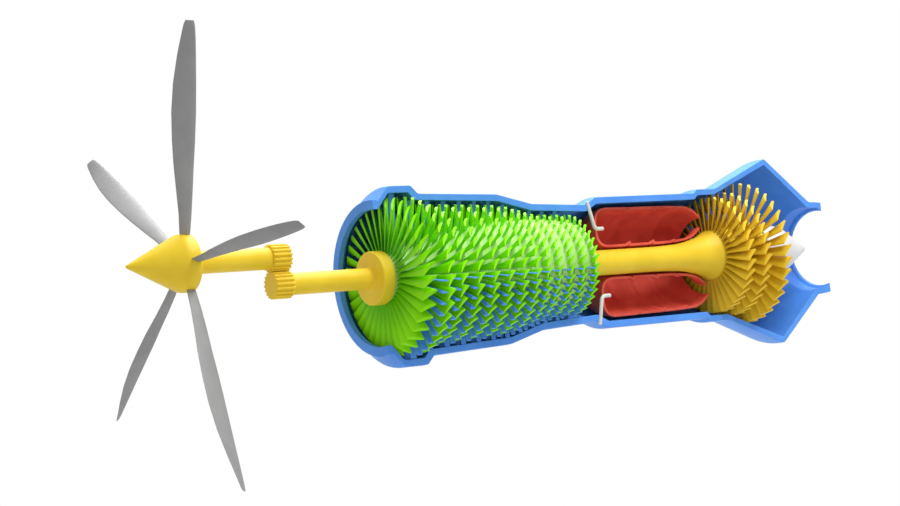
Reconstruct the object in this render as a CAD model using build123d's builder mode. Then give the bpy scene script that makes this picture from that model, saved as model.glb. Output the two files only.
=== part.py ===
from build123d import *
from math import cos, sin, radians, degrees, tan, acos
import os

os.makedirs("parts", exist_ok=True)

# Frame: X is the engine axis and points to the exhaust, +Z is up and +Y is the closed side.
# The origin is on the axis, in the plane of the intake lip. All sizes are in millimetres.

# Cutting plane that opens the engine, just in front of the shafts
cut_depth = 41.5

# Casing outline: stations along the axis with their outer radii
casing_wall = 27.0
lip_radius = 300.0
lip_length = 20.0
lip_bore_radius = 263.0
lip_waist_radius = 292.0
bulge_radius = 350.0
bulge_start = 75.0
bulge_end = 182.0
barrel_start = 214.0
barrel_radius = 317.0
barrel_end = 592.0
barrel_end_radius = 303.0
neck_start = 764.0
neck_radius = 259.0
neck_end = 1044.0
neck_end_radius = 246.0
chamber_case_start = 1102.0
chamber_case_radius = 276.0
chamber_case_end = 1664.0
turbine_case_start = 1679.0
turbine_case_radius = 292.0
flare_start = 1787.0
flare_end = 2112.0
flare_radius = 418.0
nozzle_start = 2368.0
nozzle_radius = 216.0
nozzle_end = 2447.0
nozzle_bead_radius = 172.0

# Compressor rows: blades in a row, the rear edge of each row, and widths as shares of the pitch
blades_per_row = 36
rotor_rears = (82.0, 169.0, 250.0, 329.0, 405.0, 479.0, 550.0, 619.0, 687.0, 754.0, 820.0, 885.0,
               953.0)
blade_width_share = 0.46
vane_width_share = 0.32
tip_gap = 15.0
blade_thickness = 7.0
root_seat_gap = 0.45
row_twist = 9.0
tip_stagger = 50.0
root_stagger = 24.0

# Stator vanes stand on the closed side and in the lower open quarter
vane_pitch = 8.0
first_vane_angle = -171.0
vane_count = 34
vane_thickness = 6.0
vane_seat_gap = 0.3
band_running_gap = 1.5
band_thickness = 4.0
vanes_per_facet = 3
band_facets = 5

# Compressor drum, three cones
drum_stations = (35.0, 330.0, 640.0)
drum_radii = (92.0, 166.0, 197.0)
drum_rear_radius = 175.0
drum_rear_margin = 8.0

# Drive gears, drive shaft and front disc
shaft_radius = 41.0
disc_radius = 104.0
disc_front = -20.0
disc_edge = 5.0
gear_front = -450.0
gear_rear = -374.0
teeth = 18
gear_module = 5.5
tooth_height = 2.9
tooth_depth = 4.3
tooth_backlash = 0.5
pressure_angle = 20.0

# Turbine shaft with its bell, hub and three rows
turbine_shaft_radius = 54.0
bell_start = 1470.0
bell_shoulder = 1690.0
bell_shoulder_radius = 84.0
bell_radius = 113.0
bell_end = 1745.0
turbine_hub_end = 1978.0
turbine_hub_radius = 138.0
turbine_rears = (1788.0, 1888.0, 1970.0)
turbine_tip_radii = (256.0, 274.0, 312.0)
turbine_width = 44.0
turbine_tip_stagger = 46.0
turbine_root_stagger = 24.0
turbine_thickness = 9.0
rear_journal_radius = 30.0
rear_journal_end = 2010.0
running_clearance = 0.05

# Annular combustion chamber, its outer wall in rings that step inwards at each joint
liner_wall = 9.0
liner_front = 1085.0
liner_outer_radius = 230.0
liner_inner_radius = 83.0
dome_corner = 50.0
liner_joints = (1276.0, 1420.0, 1541.0)
liner_step = 6.0
liner_bend = 1614.0
liner_inner_bend = 1572.0
mouth_outer_radius = 168.0
mouth_inner_radius = 128.0
mouth_station = 1678.0

# Fuel pipes, one above and one below the shaft, in the cutting plane
pipe_radius = 8.0
pipe_outer_point = (1054.0, 256.0)
pipe_elbow_point = (1074.0, 152.0)
pipe_end_point = (1122.0, 143.0)
pipe_clearance = 0.3

# Exhaust cone and the two bearing frames
cone_front = 1988.0
cone_base_radius = 137.0
cone_mid = 2160.0
cone_mid_radius = 111.0
cone_waist = 2272.0
cone_waist_radius = 61.0
cone_tip = 2356.0
cone_wall = 10.0
cone_web_length = 16.0
strut_angles = (-52.0, 0.0, 52.0)
strut_thickness = 12.0
strut_seat_gap = 0.3
rear_strut_front = 2002.0
rear_strut_chord = 44.0
mid_frame_front = 974.0
mid_frame_length = 34.0
mid_frame_boss_radius = 74.0
mid_frame_boss_sides = 12

# Propeller, geared to the spool and turning on its own axis above it
gear_centre = teeth * gear_module
prop_blades = 5
prop_station = -790.5
prop_tip_radius = 859.0
prop_first_angle = 105.3
hub_radius = 105.0
hub_front = -815.0
hub_rear = -766.0
hub_edge = 8.0
spinner_tip = -1016.0
blade_stations = (hub_radius + 0.3, 260.0, 440.0, 640.0, 790.0, prop_tip_radius)
blade_chords = (44.0, 74.0, 96.0, 88.0, 62.0, 34.0)
blade_pitches = (62.0, 52.0, 42.0, 33.0, 28.0, 26.0)
blade_depths = (16.0, 13.0, 11.0, 9.0, 7.0, 4.0)


def interpolate(x, stations):
    """Radius at x on a line of (station, radius) points."""
    for (x0, r0), (x1, r1) in zip(stations, stations[1:]):
        if x <= x1:
            return r0 + (r1 - r0) * (x - x0) / (x1 - x0)
    return stations[-1][1]


def polar(radius, angle, x):
    """A point given by its radius and angle about the axis, and its station x."""
    return Vector(x, radius * cos(radians(angle)), radius * sin(radians(angle)))


def flat_faced(triangles):
    """A closed solid of plane three-cornered faces."""
    return Solid(Shell([Face(Wire.make_polygon(corners)) for corners in triangles]))


def skinned(rings):
    """A closed solid through rings of corners, each ring with the same number of corners."""
    count = len(rings[0])
    triangles = []
    for low, high in zip(rings, rings[1:]):
        for i in range(count):
            j = (i + 1) % count
            triangles.append((low[i], low[j], high[j]))
            triangles.append((low[i], high[j], high[i]))
    for ring in (rings[0], rings[-1]):
        for i in range(1, count - 1):
            triangles.append((ring[0], ring[i], ring[i + 1]))
    return flat_faced(triangles)


def twisted_blade(front, rear, thick_radii, thin_radii, thick_shift, thin_shift, thickness, angle):
    """A blade with a three-cornered thick end and an edge at its thin end.

    The radii are pairs, for the front and the rear edge. A shift is how far the rear edge lies
    from the front edge at that end, in millimetres round the circle.
    """
    def corner(x, radius, shift):
        return polar(radius, angle + degrees(shift / radius), x)

    a = corner(front, thick_radii[0], -thick_shift / 2)
    b = corner(rear, thick_radii[1], thick_shift / 2)
    c = corner(front + 0.4 * (rear - front), sum(thick_radii) / 2, thickness - 0.1 * thick_shift)
    d = corner(front, thin_radii[0], -thin_shift / 2)
    e = corner(rear, thin_radii[1], thin_shift / 2)
    return flat_faced([(a, b, c), (a, e, b), (a, d, e), (a, c, d), (c, b, e), (c, e, d)])


def edge_inside(front, rear, outline, gap):
    """Radii of the two ends of a straight edge that stays inside an outline by a gap."""
    corners = [radius for x, radius in outline if front < x < rear]
    return [min([interpolate(x, outline), *corners]) - gap for x in (front, rear)]


def box_strut(front, rear, low_radii, high_radii, thickness, angle):
    """A straight strut between two radii, which are pairs for its front and rear face."""
    rings = []
    for radii in (low_radii, high_radii):
        ring = []
        for x, radius, side in ((front, radii[0], -1), (rear, radii[1], -1), (rear, radii[1], 1),
                                (front, radii[0], 1)):
            along = cos(radians(angle))
            across = sin(radians(angle))
            half = side * thickness / 2
            ring.append(Vector(x, radius * along - half * across, radius * across + half * along))
        rings.append(ring)
    return skinned(rings)


# Outlines that several pieces share
casing_outside = (
    (0.0, lip_radius),
    (lip_length, lip_radius),
    (lip_length + 4.0, lip_waist_radius),
    (bulge_start, bulge_radius),
    (bulge_end, bulge_radius),
    (barrel_start, barrel_radius),
    (barrel_end, barrel_end_radius),
    (neck_start, neck_radius),
    (neck_end, neck_end_radius),
    (chamber_case_start, chamber_case_radius),
    (chamber_case_end, chamber_case_radius),
    (turbine_case_start, turbine_case_radius),
    (flare_start, turbine_case_radius),
    (flare_end, flare_radius),
    (nozzle_start, nozzle_radius),
    (nozzle_end, nozzle_radius - 6.0),
)
casing_inside = (
    (0.0, lip_bore_radius),
    (lip_length, lip_bore_radius),
    (bulge_start, bulge_radius - casing_wall),
    (bulge_end - 13.0, bulge_radius - casing_wall),
    (barrel_start - 20.0, barrel_radius - 24.0),
    (barrel_end, barrel_end_radius - casing_wall),
    (neck_start, neck_radius - casing_wall),
    (neck_end + 2.0, neck_end_radius - casing_wall),
    (chamber_case_start + 4.0, chamber_case_radius - casing_wall),
    (chamber_case_end, chamber_case_radius - casing_wall),
    (turbine_case_start + 2.0, turbine_case_radius - 25.0),
    (flare_start - 5.0, turbine_case_radius - 25.0),
    (flare_end - 3.0, flare_radius - casing_wall),
    (nozzle_start - 10.0, nozzle_radius - casing_wall),
    (nozzle_end, nozzle_bead_radius),
)

drum_end = rotor_rears[-1] + drum_rear_margin
drum_outline = (*zip(drum_stations, drum_radii), (drum_end, drum_rear_radius))
hub_outline = ((bell_end, bell_radius), (turbine_hub_end, turbine_hub_radius))

# Casing: one turned shell, open where the cutting plane passes, with a seat for each fuel pipe
pipe_paths = []
for side in (1, -1):
    with BuildLine(Plane.XZ.offset(cut_depth)) as path:
        Polyline(*[(x, side * z) for x, z in (pipe_outer_point, pipe_elbow_point, pipe_end_point)])
    pipe_paths.append(path)


def swept_pipe(path, radius):
    """A round bar along a path."""
    start = path.line @ 0
    with BuildPart(mode=Mode.PRIVATE) as bar:
        with BuildSketch(Plane(origin=start, z_dir=path.line % 0)):
            Circle(radius)
        sweep(path=path.line, transition=Transition.RIGHT)
    return bar.part


with BuildPart() as casing:
    with BuildSketch(Plane.XZ):
        with BuildLine():
            Polyline(*casing_outside, *reversed(casing_inside), close=True)
        make_face()
    revolve(axis=Axis.X)
    split(bisect_by=Plane.XZ.offset(cut_depth), keep=Keep.BOTTOM)
    for path in pipe_paths:
        add(swept_pipe(path, pipe_radius + pipe_clearance), mode=Mode.SUBTRACT)

casing.part.label = "casing"
export_step(casing.part, "parts/casing.step")

# Fuel pipes, lying half in their seats in the casing and the chamber's dome
with BuildPart() as fuel_pipes:
    for path in pipe_paths:
        add(swept_pipe(path, pipe_radius))

fuel_pipes.part.label = "fuel_pipes"
export_step(fuel_pipes.part, "parts/fuel_pipes.step")

# Combustion chamber: one annular liner with a domed front and a narrowing mouth at the turbine
corner_cut = 0.3 * dome_corner
corner_inset = corner_cut + 0.7 * liner_wall
ring_radius = liner_outer_radius
outer_steps = []
inner_steps = []
for joint in liner_joints:
    outer_steps.append((joint, ring_radius))
    inner_steps.append((joint - liner_wall, ring_radius - liner_wall))
    ring_radius -= liner_step
    outer_steps.append((joint, ring_radius))
    inner_steps.append((joint - liner_wall, ring_radius - liner_wall))
liner_outline = (
    (liner_front, liner_inner_radius + dome_corner),
    (liner_front, liner_outer_radius - dome_corner),
    (liner_front + corner_cut, liner_outer_radius - corner_cut),
    (liner_front + dome_corner, liner_outer_radius),
    *outer_steps,
    (liner_bend, ring_radius),
    (mouth_station, mouth_outer_radius),
    (mouth_station, mouth_outer_radius - liner_wall),
    (liner_bend - 5.0, ring_radius - liner_wall),
    *reversed(inner_steps),
    (liner_front + dome_corner, liner_outer_radius - liner_wall),
    (liner_front + corner_inset, liner_outer_radius - corner_inset),
    (liner_front + liner_wall, liner_outer_radius - dome_corner),
    (liner_front + liner_wall, liner_inner_radius + dome_corner),
    (liner_front + dome_corner, liner_inner_radius + liner_wall),
    (liner_inner_bend, liner_inner_radius + liner_wall),
    (mouth_station, mouth_inner_radius + liner_wall),
    (mouth_station, mouth_inner_radius),
    (liner_inner_bend, liner_inner_radius),
    (liner_front + dome_corner - 4.0, liner_inner_radius),
)
with BuildPart() as liner:
    with BuildSketch(Plane.XZ):
        with BuildLine():
            Polyline(*liner_outline, close=True)
        make_face()
    revolve(axis=Axis.X)
    split(bisect_by=Plane.XZ.offset(cut_depth), keep=Keep.BOTTOM)
    for path in pipe_paths:
        add(swept_pipe(path, pipe_radius + pipe_clearance), mode=Mode.SUBTRACT)

liner.part.label = "combustion_liner"
export_step(liner.part, "parts/combustion_liner.step")

# Front bearing frame: a ring round the turbine shaft, held by struts on the closed side
with BuildPart() as mid_frame:
    with BuildSketch(Plane.YZ.offset(mid_frame_front)):
        RegularPolygon(mid_frame_boss_radius, mid_frame_boss_sides)
        Circle(turbine_shaft_radius + running_clearance, mode=Mode.SUBTRACT)
    extrude(amount=mid_frame_length)
    rear = mid_frame_front + mid_frame_length
    for angle in strut_angles:
        add(box_strut(
            mid_frame_front,
            rear,
            (mid_frame_boss_radius - 6.0, mid_frame_boss_radius - 6.0),
            (interpolate(mid_frame_front, casing_inside) - strut_seat_gap,
             interpolate(rear, casing_inside) - strut_seat_gap),
            strut_thickness,
            angle,
        ))

mid_frame.part.label = "mid_bearing_frame"
export_step(mid_frame.part, "parts/mid_bearing_frame.step")

# Exhaust cone: a turned shell with a bearing web for the rear journal, on struts to the casing
with BuildPart() as cone:
    with BuildSketch(Plane.XZ):
        with BuildLine():
            Polyline(
                (cone_front, cone_base_radius),
                (cone_mid, cone_mid_radius),
                (cone_waist, cone_waist_radius),
                (cone_tip, 0.0),
                (cone_tip - 60.0, 0.0),
                (cone_front + cone_web_length, cone_base_radius - cone_wall),
                (cone_front + cone_web_length, rear_journal_radius + running_clearance),
                (cone_front, rear_journal_radius + running_clearance),
                close=True,
            )
        make_face()
    revolve(axis=Axis.X)
    rear = rear_strut_front + rear_strut_chord
    for angle in strut_angles:
        add(box_strut(
            rear_strut_front,
            rear,
            (cone_base_radius - 9.0, cone_base_radius - 13.0),
            (interpolate(rear_strut_front, casing_inside) - strut_seat_gap,
             interpolate(rear, casing_inside) - strut_seat_gap),
            strut_thickness,
            angle,
        ))

cone.part.label = "exhaust_cone"
export_step(cone.part, "parts/exhaust_cone.step")

# Compressor drum with its rows of blades
with BuildPart() as drum:
    with BuildSketch(Plane.XZ):
        with BuildLine():
            Polyline((drum_stations[0], 0.0), *drum_outline, (drum_end, 0.0), close=True)
        make_face()
    revolve(axis=Axis.X)

drum.part.label = "compressor_drum"
export_step(drum.part, "parts/compressor_drum.step")

row_pitches = [rear - ahead for ahead, rear in zip(rotor_rears, rotor_rears[1:])]
row_pitches.append(row_pitches[-1])
rotor_fronts = []
for row, (rear, pitch) in enumerate(zip(rotor_rears, row_pitches)):
    width = blade_width_share * pitch
    front = rear - width
    rotor_fronts.append(front)
    seats = [interpolate(x, drum_outline) + root_seat_gap for x in (front, rear)]
    tips = edge_inside(front, rear, casing_inside, tip_gap)
    with BuildPart() as rotor_row:
        for blade in range(blades_per_row):
            add(twisted_blade(
                front,
                rear,
                seats,
                tips,
                -width * tan(radians(root_stagger)),
                -width * tan(radians(tip_stagger)),
                blade_thickness,
                row * row_twist + blade * 360 / blades_per_row,
            ))
    name = "rotor_row_" + str(row + 1).zfill(2)
    rotor_row.part.label = name
    export_step(rotor_row.part, "parts/" + name + ".step")

# Stator vanes between the blade rows. A band round the drum carries the vanes that stand
# outside the cut, and the vanes at its upper end hang it from the casing.
facet = vane_pitch * vanes_per_facet
for row in range(len(rotor_rears) - 1):
    width = vane_width_share * row_pitches[row]
    middle = (rotor_rears[row] + rotor_fronts[row + 1]) / 2
    front = middle - width / 2
    rear = middle + width / 2
    rise = 1 / cos(radians(facet / 2))
    inner = [(interpolate(x, drum_outline) + band_running_gap) * rise for x in (front, rear)]
    outer = [radius + band_thickness for radius in inner]
    walls = edge_inside(front, rear, casing_inside, vane_seat_gap)
    rings = []
    for step in range(band_facets + 1):
        angle = first_vane_angle - vane_pitch / 2 + step * facet
        rings.append((
            polar(inner[0], angle, front),
            polar(inner[1], angle, rear),
            polar(outer[1], angle, rear),
            polar(outer[0], angle, front),
        ))
    with BuildPart() as vane_row:
        add(skinned(rings))
        for vane in range(vane_count):
            from_middle = (vane % vanes_per_facet - (vanes_per_facet - 1) / 2) * vane_pitch
            flat = cos(radians(facet / 2)) / cos(radians(from_middle))
            seats = [radius * flat + vane_seat_gap for radius in outer]
            add(twisted_blade(
                front,
                rear,
                walls,
                seats,
                0.0,
                0.0,
                vane_thickness,
                first_vane_angle + vane * vane_pitch,
            ))
    name = "vane_row_" + str(row + 1).zfill(2)
    vane_row.part.label = name
    export_step(vane_row.part, "parts/" + name + ".step")

# Turbine shaft: it widens into a bell and the hub of the turbine rows, and ends in the journal
with BuildPart() as turbine_shaft:
    with BuildSketch(Plane.XZ):
        with BuildLine():
            Polyline(
                (drum_end, 0.0),
                (drum_end, turbine_shaft_radius),
                (bell_start, turbine_shaft_radius),
                (bell_shoulder, bell_shoulder_radius),
                *hub_outline,
                (turbine_hub_end, rear_journal_radius),
                (rear_journal_end, rear_journal_radius),
                (rear_journal_end, 0.0),
                close=True,
            )
        make_face()
    revolve(axis=Axis.X)

turbine_shaft.part.label = "turbine_shaft"
export_step(turbine_shaft.part, "parts/turbine_shaft.step")

for row, (rear, tip) in enumerate(zip(turbine_rears, turbine_tip_radii)):
    front = rear - turbine_width
    seats = [interpolate(x, hub_outline) + root_seat_gap for x in (front, rear)]
    if row == 0:
        seats[0] = bell_radius + root_seat_gap
    with BuildPart() as turbine_row:
        for blade in range(blades_per_row):
            add(twisted_blade(
                front,
                rear,
                seats,
                (tip - 3.0, tip),
                -turbine_width * tan(radians(turbine_root_stagger)),
                -turbine_width * tan(radians(turbine_tip_stagger)),
                turbine_thickness,
                row * row_twist + blade * 360 / blades_per_row,
            ))
    name = "turbine_row_" + str(row + 1)
    turbine_row.part.label = name
    export_step(turbine_row.part, "parts/" + name + ".step")

# Drive shaft with the front disc that closes the drum
with BuildPart() as drive_shaft:
    with BuildSketch(Plane.XZ):
        with BuildLine():
            Polyline(
                (gear_rear, 0.0),
                (gear_rear, shaft_radius),
                (disc_front - 6.0, shaft_radius),
                (disc_front, shaft_radius + 6.0),
                (disc_front, disc_radius - disc_edge),
                (disc_front + disc_edge, disc_radius),
                (drum_stations[0], disc_radius),
                (drum_stations[0], 0.0),
                close=True,
            )
        make_face()
    revolve(axis=Axis.X)

drive_shaft.part.label = "drive_shaft"
export_step(drive_shaft.part, "parts/drive_shaft.step")

# The two drive gears, with flanks that follow the involute of the pressure angle
pitch_radius = teeth * gear_module / 2
base_radius = pitch_radius * cos(radians(pressure_angle))


def half_tooth(radius):
    """Half the angle of a tooth at a radius, in degrees."""
    half = 90 / teeth - degrees(tooth_backlash / 2 / pitch_radius)
    start = tan(radians(pressure_angle)) - radians(pressure_angle)
    turn = acos(min(1.0, base_radius / radius))
    return half + degrees(start - tan(turn) + turn)


flank = (pitch_radius - tooth_depth, pitch_radius, pitch_radius + tooth_height)
gears = (("drive_gear", 0.0, 90 + 180 / teeth), ("propeller_gear", gear_centre, -90.0))
for name, height, turn in gears:
    outline = []
    for tooth in range(teeth):
        middle = turn + tooth * 360 / teeth
        for side, radii in ((-1, flank), (1, reversed(flank))):
            for radius in radii:
                angle = radians(middle + side * half_tooth(radius))
                outline.append((radius * cos(angle), radius * sin(angle) + height))
    with BuildPart() as gear:
        with BuildSketch(Plane.YZ.offset(gear_front)):
            with BuildLine():
                Polyline(*outline, close=True)
            make_face()
        extrude(amount=gear_rear - gear_front)
    gear.part.label = name
    export_step(gear.part, "parts/" + name + ".step")

# Propeller shaft with the hub and its pointed spinner
with BuildPart() as hub:
    with BuildSketch(Plane.XZ):
        with BuildLine():
            Polyline(
                (spinner_tip, gear_centre),
                (hub_front, gear_centre + hub_radius),
                (hub_rear - hub_edge, gear_centre + hub_radius),
                (hub_rear, gear_centre + hub_radius - hub_edge),
                (hub_rear, gear_centre + shaft_radius),
                (gear_front, gear_centre + shaft_radius),
                (gear_front, gear_centre),
                close=True,
            )
        make_face()
    revolve(axis=Axis((0, 0, gear_centre), (1, 0, 0)))

hub.part.label = "propeller_hub"
export_step(hub.part, "parts/propeller_hub.step")

# Propeller blades: twisted plates that stand on the hub
section = ((-0.5, 0.0), (-0.2, 0.5), (0.2, 0.4), (0.5, 0.0), (0.2, -0.15), (-0.2, -0.2))
for blade in range(prop_blades):
    angle = prop_first_angle - blade * 360 / prop_blades
    outward = polar(1.0, angle, 0.0)
    sideways = Vector(0, -outward.Z, outward.Y)
    rings = []
    for radius, chord, pitch, depth in zip(blade_stations, blade_chords, blade_pitches,
                                           blade_depths):
        centre = Vector(prop_station, 0, gear_centre) + outward * radius
        along = Vector(sin(radians(pitch)), 0, 0) + sideways * cos(radians(pitch))
        across = Vector(-cos(radians(pitch)), 0, 0) + sideways * sin(radians(pitch))
        rings.append([centre + along * (chord * u) + across * (depth * v) for u, v in section])
    with BuildPart() as prop_blade:
        add(skinned(rings))
    name = "propeller_blade_" + str(blade + 1)
    prop_blade.part.label = name
    export_step(prop_blade.part, "parts/" + name + ".step")
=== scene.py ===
from math import radians

import bmesh
import bpy
import numpy as np
from mathutils import Matrix


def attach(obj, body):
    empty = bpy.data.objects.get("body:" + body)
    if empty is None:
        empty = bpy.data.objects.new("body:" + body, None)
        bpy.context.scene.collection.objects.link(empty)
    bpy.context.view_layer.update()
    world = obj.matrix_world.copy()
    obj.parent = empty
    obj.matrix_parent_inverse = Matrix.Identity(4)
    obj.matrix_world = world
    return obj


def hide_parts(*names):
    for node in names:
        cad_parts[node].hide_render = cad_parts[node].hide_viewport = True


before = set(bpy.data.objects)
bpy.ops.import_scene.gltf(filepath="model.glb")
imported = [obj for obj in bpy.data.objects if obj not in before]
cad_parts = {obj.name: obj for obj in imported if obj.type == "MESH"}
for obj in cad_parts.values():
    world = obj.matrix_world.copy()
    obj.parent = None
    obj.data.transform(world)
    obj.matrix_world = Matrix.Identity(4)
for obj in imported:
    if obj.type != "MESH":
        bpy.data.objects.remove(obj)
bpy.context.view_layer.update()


# Casing
# One long turned shell of painted metal, cut open along its length just in front of the axis.
# Its cut edges are slightly rounded, and both ends finish in a lip.
class Nodes:
    """The shader nodes of one material or of the world."""

    def __init__(self, tree):
        self.tree = tree

    def node(self, kind, settings=None, inputs=None, output=0):
        """Adds a node of a kind with its settings, feeds its sockets and gives one output."""
        node = self.tree.nodes.new("ShaderNode" + kind)
        for key, value in (settings or {}).items():
            setattr(node, key, value)
        self.feed(node, inputs or {})
        return Socket(self, node.outputs[output])

    def feed(self, node, inputs):
        """Gives sockets of a node, by name or place, their values or links."""
        for key, value in inputs.items():
            if isinstance(value, Socket):
                self.tree.links.new(value.source, node.inputs[key])
            else:
                node.inputs[key].default_value = value


class Socket:
    """A node's output, which adds, subtracts and multiplies as a number does."""

    def __init__(self, nodes, source):
        self.nodes = nodes
        self.source = source

    def math(self, operation, first, second):
        return self.nodes.node("Math", {"operation": operation}, {0: first, 1: second})

    def __add__(self, other):
        return self.math("ADD", self, other)

    def __radd__(self, other):
        return self.math("ADD", other, self)

    def __sub__(self, other):
        return self.math("SUBTRACT", self, other)

    def __rsub__(self, other):
        return self.math("SUBTRACT", other, self)

    def __mul__(self, other):
        return self.math("MULTIPLY", self, other)

    def __rmul__(self, other):
        return self.math("MULTIPLY", other, self)

    def ramp(self, low, high):
        """0 below low, 1 above high and a smooth step between."""
        ends = {"Value": self, "From Min": low, "From Max": high}
        return self.nodes.node("MapRange", {"interpolation_type": "SMOOTHSTEP"}, ends, "Result")


class Paint(Nodes):
    """A sprayed finish of low gloss, laid out by the piece's own coordinates in metres."""

    def __init__(self, name, metallic=0.0, specular=0.2):
        self.material = bpy.data.materials.new(name)
        self.material.use_nodes = True
        super().__init__(self.material.node_tree)
        self.shader = self.tree.nodes["Principled BSDF"]
        self.feed(self.shader, {"Metallic": metallic, "Specular IOR Level": specular})
        self.place = self.node("TexCoord", output="Object")

    def noise(self, scale, detail=2.0):
        """Noise from 0 to 1 with that many lumps to the metre."""
        pattern = {"Vector": self.place, "Scale": scale, "Detail": detail}
        return self.node("TexNoise", inputs=pattern, output="Fac")

    def blend(self, share, low, high):
        """The colour low where the share is 0 and high where it is 1."""
        ends = {"Factor": share, "A": low, "B": high}
        return self.node("Mix", {"data_type": "RGBA"}, ends, "Result")

    def finish(self, colour, roughness, spread=0.10, patch=14.0, grain=900.0, depth=0.00002):
        """The material with a colour, patches of slightly different roughness and a spray grain.

        The roughness drifts by the spread, in that many patches to the metre. The grain is as
        deep as depth in metres.
        """
        drift = self.noise(patch, 3.0)
        spray = {"Distance": depth, "Height": self.noise(grain)}
        self.feed(self.shader, {
            "Base Color": colour,
            "Roughness": roughness + spread * (drift - 0.5),
            "Normal": self.node("Bump", inputs=spray, output="Normal"),
        })
        return self.material


def linear(red, green, blue):
    """A colour given as sRGB bytes, in the linear values and full alpha that shaders take."""
    value = np.array((red, green, blue)) / 255
    value = np.where(value <= 0.04045, value / 12.92, ((value + 0.055) / 1.055) ** 2.4)
    return (*value, 1.0)


def satin(name, light, dark, roughness, metallic=0.0, clouds=9.0, edges=(0.3, 0.7)):
    """Satin paint whose colour drifts from dark to light over that many clouds to the metre."""
    paint = Paint(name, metallic)
    cloud = paint.noise(clouds, 4.0).ramp(*edges)
    return paint.finish(paint.blend(cloud, dark, light), roughness)


def stack(name, rings, sharp=35.0):
    """A piece of solids made of stacked rings, from an array (solids, rings, points, 3).

    Neighbouring rings are joined by four-sided faces, and a face closes the first and the last
    ring of each solid. Edges of more than the angle sharp, in degrees, are not smoothed.
    """
    weld = 1e-6
    solids, count, around, _ = rings.shape
    point = np.arange(around)
    after = (point + 1) % around
    start = np.arange(solids)[:, None, None] * count * around
    low = start + np.arange(count - 1)[None, :, None] * around
    high = low + around
    quads = np.stack([low + point, low + after, high + after, high + point], axis=-1)
    first = start[:, 0] + point
    last = first + (count - 1) * around
    mesh = bpy.data.meshes.new(name)
    faces = quads.reshape(-1, 4).tolist() + first[:, ::-1].tolist() + last.tolist()
    mesh.from_pydata(rings.reshape(-1, 3), [], faces)
    build = bmesh.new()
    build.from_mesh(mesh)
    bmesh.ops.remove_doubles(build, verts=build.verts, dist=weld)
    bmesh.ops.dissolve_degenerate(build, edges=build.edges, dist=weld)
    bmesh.ops.recalc_face_normals(build, faces=build.faces)
    build.to_mesh(mesh)
    build.free()
    mesh.shade_smooth()
    mesh.set_sharp_from_angle(angle=radians(sharp))
    piece = bpy.data.objects.new(name, mesh)
    bpy.context.scene.collection.objects.link(piece)
    return piece


def rounded(corners, radius, steps=5, closed=True):
    """A line of (x, r) corners with each corner cut back and rounded.

    A corner P between the points A and B, both min(radius, 0.45 side) away from it, becomes the
    curve (1 - t)^2 A + 2 t (1 - t) P + t^2 B for t from 0 to 1. An open line keeps its two ends.
    """
    longest_share = 0.45
    corners = np.array(corners, dtype=float)
    radius = np.broadcast_to(np.array(radius, dtype=float), len(corners))
    before = np.roll(corners, 1, axis=0) - corners
    after = np.roll(corners, -1, axis=0) - corners
    before_length = np.linalg.norm(before, axis=1)
    after_length = np.linalg.norm(after, axis=1)
    back = np.minimum(radius, longest_share * np.minimum(before_length, after_length))
    a = corners + before * (back / before_length)[:, None]
    b = corners + after * (back / after_length)[:, None]
    t = np.linspace(0.0, 1.0, steps)[None, :, None]
    curve = (1 - t) ** 2 * a[:, None] + 2 * t * (1 - t) * corners[:, None] + t ** 2 * b[:, None]
    if closed:
        return curve.reshape(-1, 2)
    return np.concatenate([corners[:1], curve[1:-1].reshape(-1, 2), corners[-1:]])


def half_turned(name, outline, plane, stations=97):
    """A closed (x, r) outline turned over the closed side, up to the cut at y = -plane.

    A point of radius r turns through a = t (90 degrees + asin(plane / r)) for t from -1 to 1, so
    every line of the turn ends on the cut.
    """
    t = np.linspace(-1.0, 1.0, stations)[:, None]
    x, r = outline.T
    angle = t * (np.pi / 2 + np.arcsin(plane / r))
    x = np.broadcast_to(x, angle.shape)
    return stack(name, np.stack([x, r * np.cos(angle), r * np.sin(angle)], axis=-1)[None])


def break_edges(piece, width):
    """Rounds off the piece's edges of more than 60 degrees."""
    edge = piece.modifiers.new("edge", "BEVEL")
    edge.width = width
    edge.segments = 2
    edge.angle_limit = radians(60)
    return edge


def dress(piece, body, material, node):
    """Gives a piece its material, and puts it on a body in place of a CAD node."""
    piece.data.materials.append(material)
    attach(piece, body)
    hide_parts(node)


cut = 0.0415
casing_corner = 0.008
casing_outside = rounded([
    (0.000, 0.300), (0.020, 0.300), (0.024, 0.2925), (0.075, 0.350), (0.182, 0.350),
    (0.214, 0.317), (0.592, 0.303), (0.764, 0.259), (1.044, 0.246), (1.102, 0.276),
    (1.664, 0.276), (1.679, 0.292), (1.787, 0.292), (2.112, 0.418), (2.368, 0.216),
    (2.447, 0.210),
], casing_corner, closed=False)
casing_inside = rounded([
    (0.000, 0.263), (0.021, 0.263), (0.024, 0.264), (0.075, 0.323), (0.169, 0.323),
    (0.194, 0.293), (0.592, 0.276), (0.764, 0.232), (1.046, 0.219), (1.106, 0.249),
    (1.664, 0.249), (1.681, 0.267), (1.782, 0.267), (2.109, 0.391), (2.358, 0.189),
    (2.424, 0.187), (2.432, 0.172), (2.447, 0.172),
], casing_corner, closed=False)
casing = half_turned("casing_shell", np.concatenate([casing_outside, casing_inside[::-1]]), cut)
break_edges(casing, 0.0025).harden_normals = True
casing_paint = satin("casing_paint", linear(92, 158, 246), linear(84, 148, 238), 0.42)
dress(casing, "engine_case", casing_paint, "casing")

# Bearing frame
# A plain metal frame between the compressor and the chamber, on the closed side, carries the
# turbine shaft. It stays as the CAD has it, painted like the casing that holds it.
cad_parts["mid_bearing_frame"].material_slots[0].material = casing_paint

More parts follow.
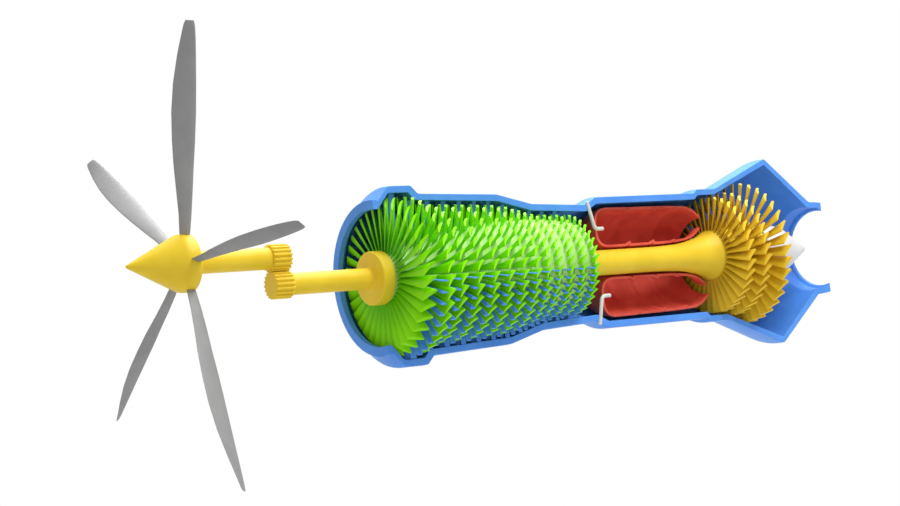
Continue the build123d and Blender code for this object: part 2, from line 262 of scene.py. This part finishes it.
# Combustion liner
# An annular can of thin painted sheet: a domed front, and walls of overlapping turned segments
# whose rear lips curl into the chamber. It is cut on the plane through the axis.
liner_cut = 0.0
sheet = 0.010
sheet_corner = 0.0005
dome_corner = 0.065
lip_corner = 0.016


def wall(centre_line, thickness):
    """A closed outline round an (x, r) centre line, half the thickness to each side of it.

    The side step is the normal (-dr, dx) / |(dx, dr)| of the line, by central differences.
    """
    slope = np.gradient(centre_line, axis=0)
    normal = np.stack([-slope[:, 1], slope[:, 0]], axis=1)
    normal /= np.linalg.norm(normal, axis=1)[:, None]
    step = normal * thickness / 2
    return np.concatenate([centre_line + step, (centre_line - step)[::-1]])


liner_paint = satin("liner_paint", linear(236, 100, 82), linear(214, 80, 64), 0.5)
for part, corner, line in (
    ("dome", dome_corner, [(1.320, 0.2145), (1.304, 0.2250), (1.122, 0.2270), (1.122, 0.0685),
                           (1.284, 0.0690), (1.307, 0.0805)]),
    ("outer_1", lip_corner, [(1.310, 0.2240), (1.336, 0.2240), (1.448, 0.2235), (1.463, 0.2130)]),
    ("outer_2", lip_corner, [(1.455, 0.2230), (1.481, 0.2230), (1.574, 0.2210), (1.590, 0.2110)]),
    ("outer_3", lip_corner, [(1.580, 0.2200), (1.640, 0.2170), (1.680, 0.2020), (1.718, 0.1700)]),
    ("inner_1", lip_corner, [(1.298, 0.0690), (1.326, 0.0690), (1.418, 0.0700), (1.441, 0.0810)]),
    ("inner_2", lip_corner, [(1.433, 0.0700), (1.461, 0.0700), (1.538, 0.0710), (1.561, 0.0790)]),
    ("inner_3", lip_corner, [(1.552, 0.0720), (1.624, 0.0790), (1.669, 0.0930), (1.711, 0.1240)]),
):
    outline = wall(rounded(line, corner, steps=9, closed=False), sheet)
    segment = half_turned("liner_" + part, rounded(outline, sheet_corner, steps=2), liner_cut)
    dress(segment, "engine_case", liner_paint, "combustion_liner")

# Fuel pipes
# Two bent tubes of white enamelled metal, one above and one below the shaft. They come in
# through the casing and end inside the liner's dome.
pipe_radius = 0.008
pipe_bend = 0.019
pipe_corners = [(1.054, 0.256), (1.081, 0.140), (1.124, 0.140)]
pipe_paint = satin("pipe_enamel", linear(226, 226, 222), linear(212, 212, 208), 0.3)


def tube(name, path, radius, around=20):
    """Round rings of a radius along a path in a plane y = constant.

    A ring is P + radius (cos a N + sin a Y), with N the normal of the path in its plane.
    """
    slope = np.gradient(path, axis=0)
    normal = np.stack([-slope[:, 2], 0 * slope[:, 1], slope[:, 0]], axis=1)
    normal /= np.linalg.norm(normal, axis=1)[:, None]
    angle = np.linspace(0.0, 2 * np.pi, around, endpoint=False)[None, :, None]
    spoke = np.cos(angle) * normal[:, None] + np.sin(angle) * np.array([0.0, 1.0, 0.0])
    return stack(name, (path[:, None] + radius * spoke)[None], 50.0)


for name, side in (("fuel_pipe_upper", 1), ("fuel_pipe_lower", -1)):
    x, r = rounded(pipe_corners, pipe_bend, steps=12, closed=False).T
    pipe = tube(name, np.stack([x, np.full(len(x), -cut), side * r], axis=1), pipe_radius)
    dress(pipe, "engine_case", pipe_paint, "fuel_pipes")

# Compressor drum
# A turned drum of light painted metal that swells to the middle and narrows to the rear. It
# carries the compressor blades.
drum_front = 0.034
drum_rear = 0.961
drum_paint = satin("drum_paint", linear(190, 232, 140), linear(176, 220, 122), 0.45)


def turned(name, outline, centre=0.0, around=96):
    """A full turn of an open (x, r) outline whose ends lie on the axis: (x, r cos a, r sin a)."""
    angle = np.linspace(0.0, 2 * np.pi, around, endpoint=False)
    x, r = outline.T[:, :, None]
    x = np.broadcast_to(x, (len(x), around))
    rings = np.stack([x, r * np.cos(angle), centre + r * np.sin(angle)], axis=-1)
    return stack(name, rings[None])


def drum_radius(x):
    """The drum's radius: the cubic through four stations along it."""
    stations = (0.035, 0.330, 0.640, 0.961)
    radii = (0.092, 0.166, 0.197, 0.175)
    return np.polyval(np.polyfit(stations, radii, 3), x)


x = np.linspace(drum_front, drum_rear, 60)
drum_line = np.stack([x, drum_radius(x)], axis=1)
drum_line = np.concatenate([[(drum_front, 0.0)], drum_line, [(drum_rear, 0.0)]])
drum = turned("compressor_drum_skin", drum_line)
dress(drum, "spool", drum_paint, "compressor_drum")

# Compressor blades
# Thirteen rows of cambered plates, twisted from the drum to the tip, in bright lacquer. Painted
# shade darkens them toward the drum, in the gaps between them, so they are brightest at the tips.
blades = 36
blade_phase = radians(8.8)
blade_rears = (0.082, 0.169, 0.250, 0.329, 0.405, 0.479, 0.550, 0.619, 0.687, 0.754, 0.820, 0.885,
               0.953)
blade_width_share = 0.46
blade_root_sink = 0.002
blade_tip_gap = 0.015
root_shift_share = -0.45
tip_shift_share = -1.15
blade_camber = (-0.003, -0.008)
blade_thickness = (0.0085, 0.0160)


def casing_bore(x):
    """The casing's inner radius at x."""
    return np.interp(x, casing_inside[:, 0], casing_inside[:, 1])


def blade_row(front, rear, root, tip, shifts, camber, thickness, angles, spans=7, around=14):
    """Rings of every blade in a row, as an array of shape (blades, spans, around, 3).

    Round a ring the chord share is s = (1 - cos q) / 2, and the plate's half thickness is
    h = thickness / 2 |sin q|^0.7 (1 + 0.35 cos q) to the side of sin q. A point lies at
    x = front + s (rear - front), at the radius root(x) + v (tip(x) - root(x)) for the span share
    v, and round the axis by (shift (s - 1/2) + 4 camber s (1 - s) + h) / radius, where the
    shift, camber and thickness go from their root value to their tip value with v.
    """
    fullness = 0.7
    front_weight = 0.35
    q = np.linspace(0.0, 2 * np.pi, around, endpoint=False)[None, None, :]
    v = np.linspace(0.0, 1.0, spans)[None, :, None]
    s = (1 - np.cos(q)) / 2
    x = front + s * (rear - front)
    shift, bow, thick = [low + v * (high - low) for low, high in (shifts, camber, thickness)]
    plate = np.sign(np.sin(q)) * np.abs(np.sin(q)) ** fullness
    half = thick / 2 * plate * (1 + front_weight * np.cos(q))
    radius = root(x) + v * (tip(x) - root(x))
    turn = (shift * (s - 0.5) + 4 * bow * s * (1 - s) + half) / radius
    angle = np.array(angles)[:, None, None] + turn
    x = np.broadcast_to(x, angle.shape)
    return np.stack([x, radius * np.cos(angle), radius * np.sin(angle)], axis=-1)


def root_shaded_lacquer(name, light, dark, low, high, roughness, spots=24.0, spotting=0.2):
    """Blade lacquer with painted shade: it darkens from the radius high down to the radius low.

    The radius is the length of the place with its x taken out. The spotting is the share that
    noise has in the colour, in that many spots to the metre.
    """
    paint = Paint(name)
    flat = paint.node("VectorMath", {"operation": "MULTIPLY"}, {0: paint.place, 1: (0.0, 1.0, 1.0)})
    radius = paint.node("VectorMath", {"operation": "LENGTH"}, {0: flat}, "Value")
    share = radius.ramp(low, high) * (1 - spotting) + paint.noise(spots, 3.0) * spotting
    return paint.finish(paint.blend(share, dark, light), roughness)


# painted shade: the lacquer darkens from radius 0.26 at the tips down to 0.12 near the drum
blade_paint = root_shaded_lacquer("compressor_lacquer", linear(150, 246, 0), linear(96, 196, 0), 0.12, 0.26,
                      0.42)
row_pitches = np.append(np.diff(blade_rears), blade_rears[-1] - blade_rears[-2])
blade_widths = blade_width_share * row_pitches
for row, (rear, width) in enumerate(zip(blade_rears, blade_widths)):
    rings = blade_row(
        rear - width,
        rear,
        lambda x: drum_radius(x) - blade_root_sink,
        lambda x: np.minimum(casing_bore(x), casing_bore(rear)) - blade_tip_gap,
        (root_shift_share * width, tip_shift_share * width),
        blade_camber,
        blade_thickness,
        blade_phase + np.arange(blades) * 2 * np.pi / blades,
    )
    name = "rotor_row_" + str(row + 1).zfill(2)
    row_piece = stack(name + "_blades", rings, 40.0)
    dress(row_piece, "spool", blade_paint, name)

# Stator vanes
# Flat unstaggered plates between the rotor rows, on the closed side and in the lower open
# quarter, where a thin band round the drum, in the drum's colour, carries them.
vane_angles = np.radians(-172.0 + 8.0 * np.arange(34))
vane_width_share = 0.32
vane_lift = 0.006
vane_seat = 0.0005
vane_thickness = (0.004, 0.006)
band_angles = np.radians(np.linspace(-177.0, -57.0, 41))[:, None]
band_lift = 0.0045
band_height = 0.0025
band_corner = 0.0008
vane_paint = satin("vane_paint", linear(100, 165, 255), linear(80, 146, 244), 0.42)
for row, (ahead, rear, pitch) in enumerate(zip(blade_rears, blade_rears[1:], row_pitches)):
    middle = (ahead + rear - blade_widths[row + 1]) / 2
    front = middle - vane_width_share * pitch / 2
    back = middle + vane_width_share * pitch / 2
    rings = blade_row(
        front,
        back,
        lambda x: drum_radius(x) + vane_lift,
        lambda x: np.minimum(casing_bore(x), casing_bore(back)) + vane_seat,
        (0.0, 0.0),
        (0.0, 0.0),
        vane_thickness,
        vane_angles,
        spans=3,
        around=10,
    )
    name = "vane_row_" + str(row + 1).zfill(2)
    dress(stack(name + "_vanes", rings, 40.0), "engine_case", vane_paint, name)
    low = drum_radius(middle) + band_lift
    high = low + band_height
    x, r = rounded([(front, low), (back, low), (back, high), (front, high)], band_corner, steps=3).T
    x = np.broadcast_to(x, (len(band_angles), len(x)))
    rings = np.stack([x, r * np.cos(band_angles), r * np.sin(band_angles)], axis=-1)
    band = stack(name + "_band", rings[None], 40.0)
    dress(band, "engine_case", drum_paint, name)

# Drive shaft
# One turned piece of yellow painted metal: the shaft from the lower gear, and the disc that
# closes the drum.
shaft_radius = 0.041
disc_radius = 0.104
shaft_paint = satin("shaft_paint", linear(244, 210, 54), linear(236, 201, 44), 0.4)
shaft_line = rounded([
    (-0.376, 0.0), (-0.376, shaft_radius), (-0.020, shaft_radius), (-0.020, disc_radius),
    (0.035, disc_radius), (0.035, 0.0),
], (0.0, 0.002, 0.012, 0.008, 0.008, 0.0), steps=7, closed=False)
shaft = turned("drive_shaft_and_disc", shaft_line)
dress(shaft, "spool", shaft_paint, "drive_shaft")

# Turbine shaft
# One turned piece in the same paint. It runs from the drum through the liner, flares into a bell
# and ends in the hub that carries the turbine rows.
turbine_line = rounded([
    (0.960, 0.0), (0.960, 0.053), (1.440, 0.053), (1.590, 0.060), (1.700, 0.086), (1.748, 0.112),
    (1.976, 0.138), (1.976, 0.030), (2.008, 0.030), (2.008, 0.0),
], (0.0, 0.002, 0.1, 0.07, 0.05, 0.018, 0.003, 0.002, 0.002, 0.0), steps=9, closed=False)
turbine_shaft = turned("turbine_shaft_and_hub", turbine_line)
dress(turbine_shaft, "spool", shaft_paint, "turbine_shaft")

# Turbine blades
# Three rows of broad gold lacquered plates on the hub, each row taller than the one before, to
# follow the casing's flare.
turbine_width = 0.043
turbine_tip_shift_share = -1.05
turbine_tip_slope = 0.003
turbine_thickness = (0.0095, 0.0185)
turbine_roots = ((1.744, 1.978), (0.108, 0.136))
# painted shade: the gold darkens from radius 0.24 down to 0.13 near the hub, between the blades
turbine_paint = root_shaded_lacquer("turbine_lacquer", linear(238, 200, 48), linear(202, 164, 26), 0.13, 0.24,
                        0.4)
for row, (rear, tip, phase) in enumerate((
    (1.784, 0.256, 5.6),
    (1.862, 0.274, 0.8),
    (1.944, 0.312, 3.5),
)):
    rings = blade_row(
        rear - turbine_width,
        rear,
        lambda x: np.interp(x, *turbine_roots),
        lambda x: tip - turbine_tip_slope * (rear - x) / turbine_width,
        (root_shift_share * turbine_width, turbine_tip_shift_share * turbine_width),
        blade_camber,
        turbine_thickness,
        radians(phase) + np.arange(blades) * 2 * np.pi / blades,
    )
    name = "turbine_row_" + str(row + 1)
    row_piece = stack(name + "_blades", rings, 40.0)
    dress(row_piece, "spool", turbine_paint, name)

# Exhaust cone
# A white turned shell behind the turbine, held in the casing by three plain struts on the closed
# side. Shell and struts are sheet metal in the same paint.
strut_front = 2.002
strut_rear = 2.046
strut_root = 0.130
strut_thickness = 0.012
strut_seat = 0.0005
strut_angles = np.radians((-52.0, 0.0, 52.0))
cone_paint = satin("cone_paint", linear(232, 232, 230), linear(218, 218, 216), 0.35)
cone_line = rounded([
    (2.296, 0.0), (2.004, 0.127), (2.004, 0.0305), (1.988, 0.0305), (1.988, 0.137), (2.156, 0.112),
    (2.339, 0.012), (2.355, 0.0),
], (0.0, 0.003, 0.001, 0.001, 0.004, 0.04, 0.008, 0.0), steps=9, closed=False)
cone = turned("exhaust_cone_skin", cone_line)
dress(cone, "engine_case", cone_paint, "exhaust_cone")
rings = blade_row(
    strut_front,
    strut_rear,
    lambda x: strut_root,
    lambda x: casing_bore(x) + strut_seat,
    (0.0, 0.0),
    (0.0, 0.0),
    (strut_thickness, strut_thickness),
    strut_angles,
    spans=4,
    around=20,
)
struts = stack("exhaust_struts", rings, 40.0)
dress(struts, "engine_case", cone_paint, "exhaust_cone")

# Gears
# Two equal steel gears painted with the shafts. Each flank follows the involute of a 20 degree
# pressure angle, and the edges are broken.
teeth = 18
gear_pitch_radius = 0.0495
gear_centre = 2 * gear_pitch_radius
gear_front = -0.450
gear_rear = -0.374
gear_edge = 0.0012
backlash = 0.00025
pressure = radians(20)
flank = np.array((0.0452, 0.0465, 0.048, 0.0495, 0.051, 0.0524))
for name, body, height, turn in (
    ("drive_gear", "spool", 0.0, 90 + 180 / teeth),
    ("propeller_gear", "propeller", gear_centre, -90.0),
):
    roll = np.arccos(np.minimum(1.0, gear_pitch_radius * np.cos(pressure) / flank))
    half = np.pi / 2 / teeth - backlash / gear_pitch_radius
    half = half + np.tan(pressure) - pressure - np.tan(roll) + roll
    tooth = radians(turn) + np.arange(teeth)[:, None] * 2 * np.pi / teeth
    angle = tooth + np.concatenate([-half, half[::-1]])
    radius = np.concatenate([flank, flank[::-1]])
    y, z = (radius * np.cos(angle)).ravel(), height + (radius * np.sin(angle)).ravel()
    rings = np.stack([np.stack([np.full(len(y), x), y, z], axis=1) for x in (gear_front, gear_rear)])
    gear = stack(name + "_wheel", rings[None], 30.0)
    break_edges(gear, gear_edge)
    dress(gear, body, shaft_paint, name)

# Propeller hub
# A turned hub with a pointed spinner ahead of it and its shaft behind, all in the shaft's paint.
# The shaft ends in the upper gear.
hub_radius = 0.105
hub_line = rounded([
    (-1.0158, 0.0), (-1.012, 0.006), (-0.815, hub_radius), (-0.766, hub_radius),
    (-0.766, shaft_radius), (-0.449, shaft_radius), (-0.449, 0.0),
], (0.0, 0.004, 0.012, 0.012, 0.004, 0.001, 0.0), steps=7, closed=False)
hub = turned("propeller_hub_and_spinner", hub_line, gear_centre)
dress(hub, "propeller", shaft_paint, "propeller_hub")

# Propeller blades
# Five twisted plates of grey painted metal with an airfoil section, set in the hub. Their front
# edges sweep forward.
blade_plane = -0.7905
first_blade_angle = 105.3
# Radius, reach ahead of the blade's own axis and behind it, lean aside, pitch in degrees, depth.
blade_stations = np.array((
    (0.1053, 0.0200, 0.0190, 0.0000, 79.0, 0.0150),
    (0.1800, 0.0249, 0.0223, 0.0000, 77.5, 0.0140),
    (0.2600, 0.0354, 0.0236, 0.0007, 74.5, 0.0125),
    (0.3500, 0.0474, 0.0243, 0.0037, 73.0, 0.0115),
    (0.4400, 0.0554, 0.0263, 0.0057, 71.1, 0.0105),
    (0.5400, 0.0598, 0.0268, 0.0084, 68.4, 0.0095),
    (0.6400, 0.0556, 0.0249, 0.0096, 65.0, 0.0085),
    (0.7400, 0.0429, 0.0224, 0.0089, 59.1, 0.0070),
    (0.8000, 0.0320, 0.0205, 0.0078, 53.5, 0.0060),
    (0.8430, 0.0240, 0.0175, 0.0070, 49.5, 0.0050),
    (0.8590, 0.0170, 0.0130, 0.0066, 48.0, 0.0030),
))


def propeller_blade(outward, sideways, spans=48, around=28):
    """Rings of one blade along the direction outward, with sideways square to it and to the shaft.

    The span share v runs from 0 to 1, and the radius goes with v^0.85, so that the rings lie
    closer near the tip. Round a ring a point lies (behind - ahead) / 2 - (behind + ahead) / 2
    cos q along the chord, and off it by side depth sin q (1 - 0.4 cos q) + lean, where side is
    0.6 on the full side and 0.3 on the flat one. The chord points by the pitch from sideways to
    the rear.
    """
    crowding = 0.85
    full_side, flat_side = 0.6, 0.3
    front_weight = 0.4
    station = blade_stations[:, 0]
    reach = station[0] + np.linspace(0.0, 1.0, spans) ** crowding * (station[-1] - station[0])
    ahead, behind, lean, pitch, depth = [
        np.interp(reach, station, values)[:, None] for values in blade_stations[:, 1:].T]
    pitch = np.radians(pitch)
    q = np.linspace(0.0, 2 * np.pi, around, endpoint=False)
    along = (behind - ahead) / 2 - (behind + ahead) / 2 * np.cos(q)
    side = np.where(np.sin(q) > 0, full_side, flat_side)
    across = side * np.sin(q) * (1 - front_weight * np.cos(q)) * depth + lean
    rearward = np.array((1.0, 0.0, 0.0))
    chordwise = np.sin(pitch) * rearward + np.cos(pitch) * sideways
    thickwise = -np.cos(pitch) * rearward + np.sin(pitch) * sideways
    centre = np.array((blade_plane, 0.0, gear_centre)) + reach[:, None] * outward
    return (centre[:, None] + along[..., None] * chordwise[:, None]
            + across[..., None] * thickwise[:, None])


propeller_paint = satin("propeller_paint", linear(156, 156, 156), linear(148, 148, 148), 0.6,
                        metallic=0.3)
for blade in range(5):
    turn = radians(first_blade_angle - 360 / 5 * blade)
    outward = np.array((0.0, np.cos(turn), np.sin(turn)))
    sideways = np.array((0.0, -np.sin(turn), np.cos(turn)))
    name = "propeller_blade_" + str(blade + 1)
    skin = stack(name + "_skin", propeller_blade(outward, sideways)[None], 40.0)
    dress(skin, "blade_" + str(blade + 1), propeller_paint, name)

# Floor and light
# A pale floor far below the engine and a plain studio world, both white to the camera, with soft
# light from above and around.
floor_height = -1.1
floor_reach = 30.0
floor_colour = (0.6, 0.6, 0.6, 1.0)
sky_strength = 0.53
floor_corners = [(-1, -1), (1, -1), (1, 1), (-1, 1)]
floor_mesh = bpy.data.meshes.new("floor")
floor_mesh.from_pydata([(x * floor_reach, y * floor_reach, floor_height) for x, y in floor_corners],
                       [], [(0, 1, 2, 3)])
floor = bpy.data.objects.new("floor", floor_mesh)
bpy.context.scene.collection.objects.link(floor)


def white_to_camera(nodes, surface, white, output):
    """Shows white to the camera and to gloss and transmission rays, and else the surface."""
    seen = nodes.node("LightPath", output="Is Camera Ray")
    for ray in ("Is Glossy Ray", "Is Transmission Ray"):
        seen = seen.math("MAXIMUM", seen, nodes.node("LightPath", output=ray))
    shown = nodes.node("MixShader", inputs={"Fac": seen, 1: surface, 2: white})
    nodes.feed(output, {"Surface": shown})


floor_material = bpy.data.materials.new("floor")
floor_material.use_nodes = True
floor_mesh.materials.append(floor_material)
nodes = Nodes(floor_material.node_tree)
shader = nodes.tree.nodes["Principled BSDF"]
nodes.feed(shader, {"Base Color": floor_colour, "Roughness": 0.9})
white_to_camera(nodes, Socket(nodes, shader.outputs[0]), nodes.node("Emission"),
                nodes.tree.nodes["Material Output"])

world = bpy.data.worlds.new("studio")
world.use_nodes = True
bpy.context.scene.world = world
nodes = Nodes(world.node_tree)
white = (1.0, 1.0, 1.0, 1.0)
sky = nodes.tree.nodes["Background"]
nodes.feed(sky, {"Color": white, "Strength": sky_strength})
backdrop = nodes.node("Background", inputs={"Color": white})
white_to_camera(nodes, Socket(nodes, sky.outputs[0]), backdrop, nodes.tree.nodes["World Output"])


def stand(holder, place, right, up, back):
    """Puts a lamp or the camera in the scene at a place, looking against the direction back."""
    axes = Matrix(np.stack([right, up, back], axis=1).tolist()).to_4x4()
    holder.matrix_world = Matrix.Translation(place) @ axes
    bpy.context.scene.collection.objects.link(holder)


light_aim = np.array((0.9, 0.0, 0.0))
for name, place, size, power in (
    ("key", (1.8, -3.2, 5.2), 3.0, 290.0),
    ("top", (1.8, 1.5, 5.0), 4.0, 350.0),
):
    lamp = bpy.data.lights.new(name, "AREA")
    lamp.size = size
    lamp.energy = power
    back = place - light_aim
    back /= np.linalg.norm(back)
    right = np.cross((0.0, 0.0, 1.0), back)
    right /= np.linalg.norm(right)
    stand(bpy.data.objects.new(name, lamp), place, right, np.cross(back, right), back)

# Camera
# It stands ahead of the engine on its open side, and looks slightly upwards.
camera_data = bpy.data.cameras.new("camera")
camera_data.sensor_width = 36.0
camera_data.lens = 69.03
camera_place = (-3.5453, -5.5448, -0.3328)
camera_right = (0.81651, -0.56814, -0.10263)
camera_up = (0.04926, -0.10856, 0.99287)
camera_back = (-0.57523, -0.81574, -0.06065)
camera = bpy.data.objects.new("camera", camera_data)
stand(camera, camera_place, camera_right, camera_up, camera_back)
bpy.context.scene.camera = camera
bpy.context.scene.view_settings.view_transform = "Standard"
